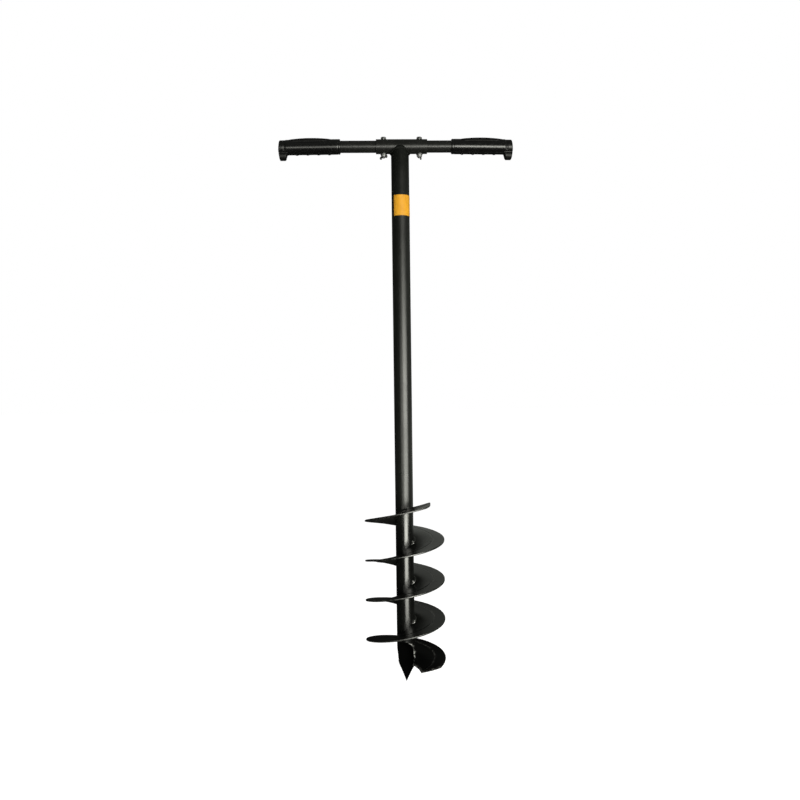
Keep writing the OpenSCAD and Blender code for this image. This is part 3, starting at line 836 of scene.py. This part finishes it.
def flight_bead(k, mid):
    """A rippled fillet of weld metal between the shaft and the top of a plate, with a blob of bare weld
    metal painted bright as a glint.
    """
    points = []
    wear_and_glint = []
    for i in range(BEAD_RINGS + 1):
        share = i / BEAD_RINGS
        a = mid + BEAD_SWEEP * (share - 0.5)
        along = math.radians(a) * R_IN
        ripple = abs(math.sin(math.pi * along / BEAD_RIPPLE))
        lump = noise.noise(Vector((along * BEAD_GRAIN, k * BEAD_GRAIN_SHIFT, 0.0)))
        blob = math.exp(-(((share - BEAD_BLOB) / BEAD_BLOB_W) ** 2))
        swell = math.sin(math.pi * share) ** BEAD_TAPER
        swell *= BEAD_EVEN + BEAD_UNEVEN * (ripple + lump) + BEAD_BLOB_H * blob
        leg = BEAD_END + (BEAD_LEG - BEAD_END) * swell
        root = plate_height(a, R_IN) + PLATE_T / 2
        toe = plate_height(a, R_IN + leg) + PLATE_T / 2
        points.append(around(R_IN - BEAD_SINK, a, root - BEAD_SINK))
        points.append(around(R_IN + leg, a, toe - BEAD_SINK))
        for step in range(BEAD_ARC):
            roll = math.radians(90 * step / (BEAD_ARC - 1))
            out = leg * math.cos(roll) ** BEAD_BULGE if step < BEAD_ARC - 1 else -BEAD_SINK
            rise = leg * math.sin(roll) ** BEAD_BULGE
            points.append(around(R_IN + out, a, toe + (root - toe) * (1 - out / leg) + rise))
        # Painted glint, on bare weld metal, around the blob
        wear_and_glint += [BEAD_GLINT_AND_WEAR * blob] * (BEAD_ARC + 2)
    mesh = mesh_from(f"flight_bead_{k}", points, ring_faces(BEAD_RINGS + 1, BEAD_ARC + 2))
    paint_map(mesh, "wear_and_glint", wear_and_glint)
    stand_in(f"flight_bead_{k}", mesh, f"flight_weld_{k}", sharp=60.0)


def make_flights():
    for k in range(1, FLIGHT_COUNT + 1):
        flight_plate(k)
    seams = [SEAM_TURN - TURN * k for k in range(FLIGHT_COUNT - 1)]
    for k, mid in enumerate([TOP_WELD_TURN, *seams, LIP_WELD_TURN], start=1):
        flight_bead(k, mid)


def remeshed(node, name, voxel, passes):
    """A copy of a node's mesh in even faces of about voxel millimetres, with its edges softened."""
    mesh = nodes[node].data.copy()
    work = bmesh.new()
    work.from_mesh(mesh)
    bmesh.ops.remove_doubles(work, verts=work.verts, dist=MM / 1000)
    work.to_mesh(mesh)
    work.free()
    thing = put(name, mesh)
    remesh = thing.modifiers.new("remesh", "REMESH")
    remesh.mode = "VOXEL"
    remesh.voxel_size = voxel * MM
    soften = thing.modifiers.new("soften", "SMOOTH")
    soften.iterations = passes
    graph = bpy.context.evaluated_depsgraph_get()
    finer = bpy.data.meshes.new_from_object(thing.evaluated_get(graph))
    finer.name = name
    bpy.data.objects.remove(thing)
    bpy.data.meshes.remove(mesh)
    return finer


def pad_share(along, turn, margin):
    """1 well inside the thumb pad and 0 outside of it, with a soft edge of some millimetres."""
    end = PAD_START + PAD_LEN
    ends = eased(along, PAD_START, PAD_START + margin) * (1 - eased(along, end - margin, end))
    swell = math.sin(math.pi * min(1.0, max(0.0, (along - PAD_START) / PAD_LEN)))
    reach = PAD_REACH + (PAD_REACH_MID - PAD_REACH) * swell
    sides = GRIP_R * math.radians(reach - abs(turn))
    return ends * eased(sides, 0.0, margin)


def dull_share(along, turn, lift, length):
    """How dull a grip is: most on the thumb pad, and less on the hand guard and its foot."""
    guard_start = length - GUARD_W
    guard = GUARD_DULL * eased(along, guard_start - GUARD_EDGE, guard_start + GUARD_EDGE)
    foot = FOOT_DULL * eased(-lift, GRIP_R, GRIP_R + FOOT_EDGE) if guard else 0.0
    return max(pad_share(along, turn, PAD_EDGE), guard, foot)


def pad_rib(along, turn):
    """Height in millimetres of the thumb pad's crossed ribs."""
    round_way = math.radians(turn) * GRIP_R
    first = abs(math.sin(math.pi * (along + round_way) / RIB_PITCH))
    second = abs(math.sin(math.pi * (along - round_way) / RIB_PITCH))
    return RIB_H * pad_share(along, turn, RIB_EDGE) * (first * second - RIB_FLOOR)


def make_grip(side_name, side):
    """A grip with softened edges, crossed ribs on its thumb pad and dull places."""
    node = f"{side_name}_grip"
    low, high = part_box(node)
    inner_x = low[0] if side > 0 else high[0]
    length = (high[0] - low[0]) / MM
    sleeve_low, sleeve_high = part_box("cross_sleeve")
    axis_z = (sleeve_low[2] + sleeve_high[2]) / 2
    droop = math.tan(math.radians(GRIP_DROOP))
    mesh = remeshed(node, f"{side_name}_grip_moulding", voxel=GRIP_VOXEL, passes=4)
    dull = [0.0] * len(mesh.vertices)
    for vertex in mesh.vertices:
        along = side * (vertex.co.x - inner_x) / MM
        lift = vertex.co.z - axis_z + along * MM * droop
        out = math.hypot(vertex.co.y, lift)
        if out < (GRIP_R - GRIP_SKIN) * MM:
            continue
        turn = math.degrees(math.atan2(vertex.co.y, lift))
        dull[vertex.index] = dull_share(along, turn, lift / MM, length)
        push = pad_rib(along, turn) * MM / out
        vertex.co.y += vertex.co.y * push
        vertex.co.z += lift * push
    paint_map(mesh, "dull", dull)
    stand_in(f"{side_name}_grip_moulding", mesh, node, sharp=60.0)


def hex_reach(turn):
    """Distance from a hexagon's middle to its side at an angle in radians."""
    sixth = math.tau / 6
    return HEAD_AF / 2 / math.cos((turn + sixth / 2) % sixth - sixth / 2)


def thread_fall(height, turn):
    """Depth of the thread's groove at a height above the bolt's end."""
    phase = (height / THREAD_PITCH - turn / math.tau) % 1.0
    fade = 1 - eased(height, THREAD_LEN - THREAD_RUN_OUT, THREAD_LEN)
    return THREAD_DEPTH * fade * (1 - abs(2 * phase - 1))


def make_bolt(side_name):
    """A threaded bolt with a chamfered hexagon head, as rings from its end up to its top."""
    node = f"{side_name}_bolt"
    low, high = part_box(node)
    x = (low[0] + high[0]) / 2
    length = (high[2] - low[2]) / MM - HEAD_H
    turns = [math.tau * m / BOLT_SIDES for m in range(BOLT_SIDES)]
    rings = []
    steps = int(THREAD_LEN / THREAD_PITCH * THREAD_RINGS)
    for i in range(steps + 1):
        height = THREAD_LEN * i / steps
        limit = BOLT_R - BOLT_CHAMFER + height
        rings.append((height, [min(limit, BOLT_R - thread_fall(height, turn)) for turn in turns]))
    rings.append((length, [BOLT_R for turn in turns]))
    corner = HEAD_AF / 2 / math.cos(math.tau / 12)
    cone_low = corner + HEAD_H
    cone_high = HEAD_AF / 2 - BOLT_CHAMFER
    for share in HEAD_RINGS:
        cone = cone_low + (cone_high - cone_low) * share
        rings.append((length + HEAD_H * share, [min(cone, hex_reach(turn)) for turn in turns]))
    points = [
        (x + r * MM * math.cos(turn), r * MM * math.sin(turn), low[2] + height * MM)
        for height, reaches in rings for r, turn in zip(reaches, turns)
    ]
    mesh = mesh_from(f"{side_name}_hex_bolt", points, ring_faces(len(rings), BOLT_SIDES))
    stand_in(f"{side_name}_hex_bolt", mesh, node, sharp=35.0)


def make_wing_nut(side_name):
    node = f"{side_name}_wing_nut"
    mesh = remeshed(node, f"{side_name}_cast_wing_nut", voxel=NUT_VOXEL, passes=5)
    stand_in(f"{side_name}_cast_wing_nut", mesh, node, sharp=60.0)


def scoop_front(z):
    """How far behind the shaft axis the scoop's cut lies at a height, in millimetres."""
    rise = min(max(z - SCOOP_STRAIGHT, 0.0), SCOOP_R)
    return SCOOP_SET_BACK - SCOOP_R + math.sqrt(SCOOP_R ** 2 - rise ** 2)


def make_point():
    """The gouge point, blacker and duller by painted shade, most of all inside, with a rough,
    flame-cut edge whose right side is bare steel painted bright as a glint.
    """
    mesh = remeshed("gouge_point", "cut_point", voxel=POINT_VOXEL, passes=3)
    wear_and_glint = []
    shade_and_dull = []
    scoop_turn = math.radians(SCOOP_TURN)
    normals = [vertex.normal.copy() for vertex in mesh.vertices]
    for vertex, normal in zip(mesh.vertices, normals):
        x, y, z = vertex.co / MM
        across = x * math.cos(scoop_turn) - y * math.sin(scoop_turn)
        depth = x * math.sin(scoop_turn) + y * math.cos(scoop_turn) - scoop_front(z)
        near = math.exp(-((depth / CUT_W) ** 2))
        outside = eased(math.hypot(x, y) - BORE_R, *BORE_FADE)
        # Painted shade and a duller gloss: full inside the bore, a little less outside
        shade_and_dull.append(1 - (1 - POINT_SHADE) * outside)
        lump = noise.noise(vertex.co * (CUT_GRAIN / MM))
        vertex.co += normal * MM * near * (CUT_LUMP * lump - CUT_SINK)
        # Painted glint on bare steel along the right side of the cut edge
        wear_and_glint.append(near * eased(across, *BRIGHT_ACROSS) * eased(lump, *BRIGHT_LUMPS))
    paint_map(mesh, "wear_and_glint", wear_and_glint)
    paint_map(mesh, "shade_and_dull", shade_and_dull)
    stand_in("cut_point", mesh, "gouge_point", sharp=60.0)


def make_tee_weld():
    """The weld under the sleeve, with the ripples and lumps of a hand-laid bead."""
    mesh = remeshed("tee_weld", "tee_bead", voxel=TEE_VOXEL, passes=6)
    normals = [vertex.normal.copy() for vertex in mesh.vertices]
    for vertex, normal in zip(mesh.vertices, normals):
        turn = math.atan2(vertex.co.y, vertex.co.x)
        ripple = abs(math.sin(turn * TEE_RIPPLES))
        lump = noise.noise(vertex.co * (TEE_GRAIN / MM))
        vertex.co += normal * MM * (TEE_RIPPLE_H * ripple + TEE_LUMP * lump - TEE_SINK)
    stand_in("tee_bead", mesh, "tee_weld", sharp=60.0)


def dress_nodes():
    """The finish of every CAD node, also of those that a finer piece stands for."""
    for name, thing in nodes.items():
        for slot in thing.material_slots:
            slot.material = finish_of(name)


make_camera()
make_studio()
make_flights()
for side_name, side in (("left", -1), ("right", 1)):
    make_grip(side_name, side)
    make_bolt(side_name)
    make_wing_nut(side_name)
make_point()
make_tee_weld()
dress_nodes()

bpy.context.scene.view_settings.view_transform = "Standard"
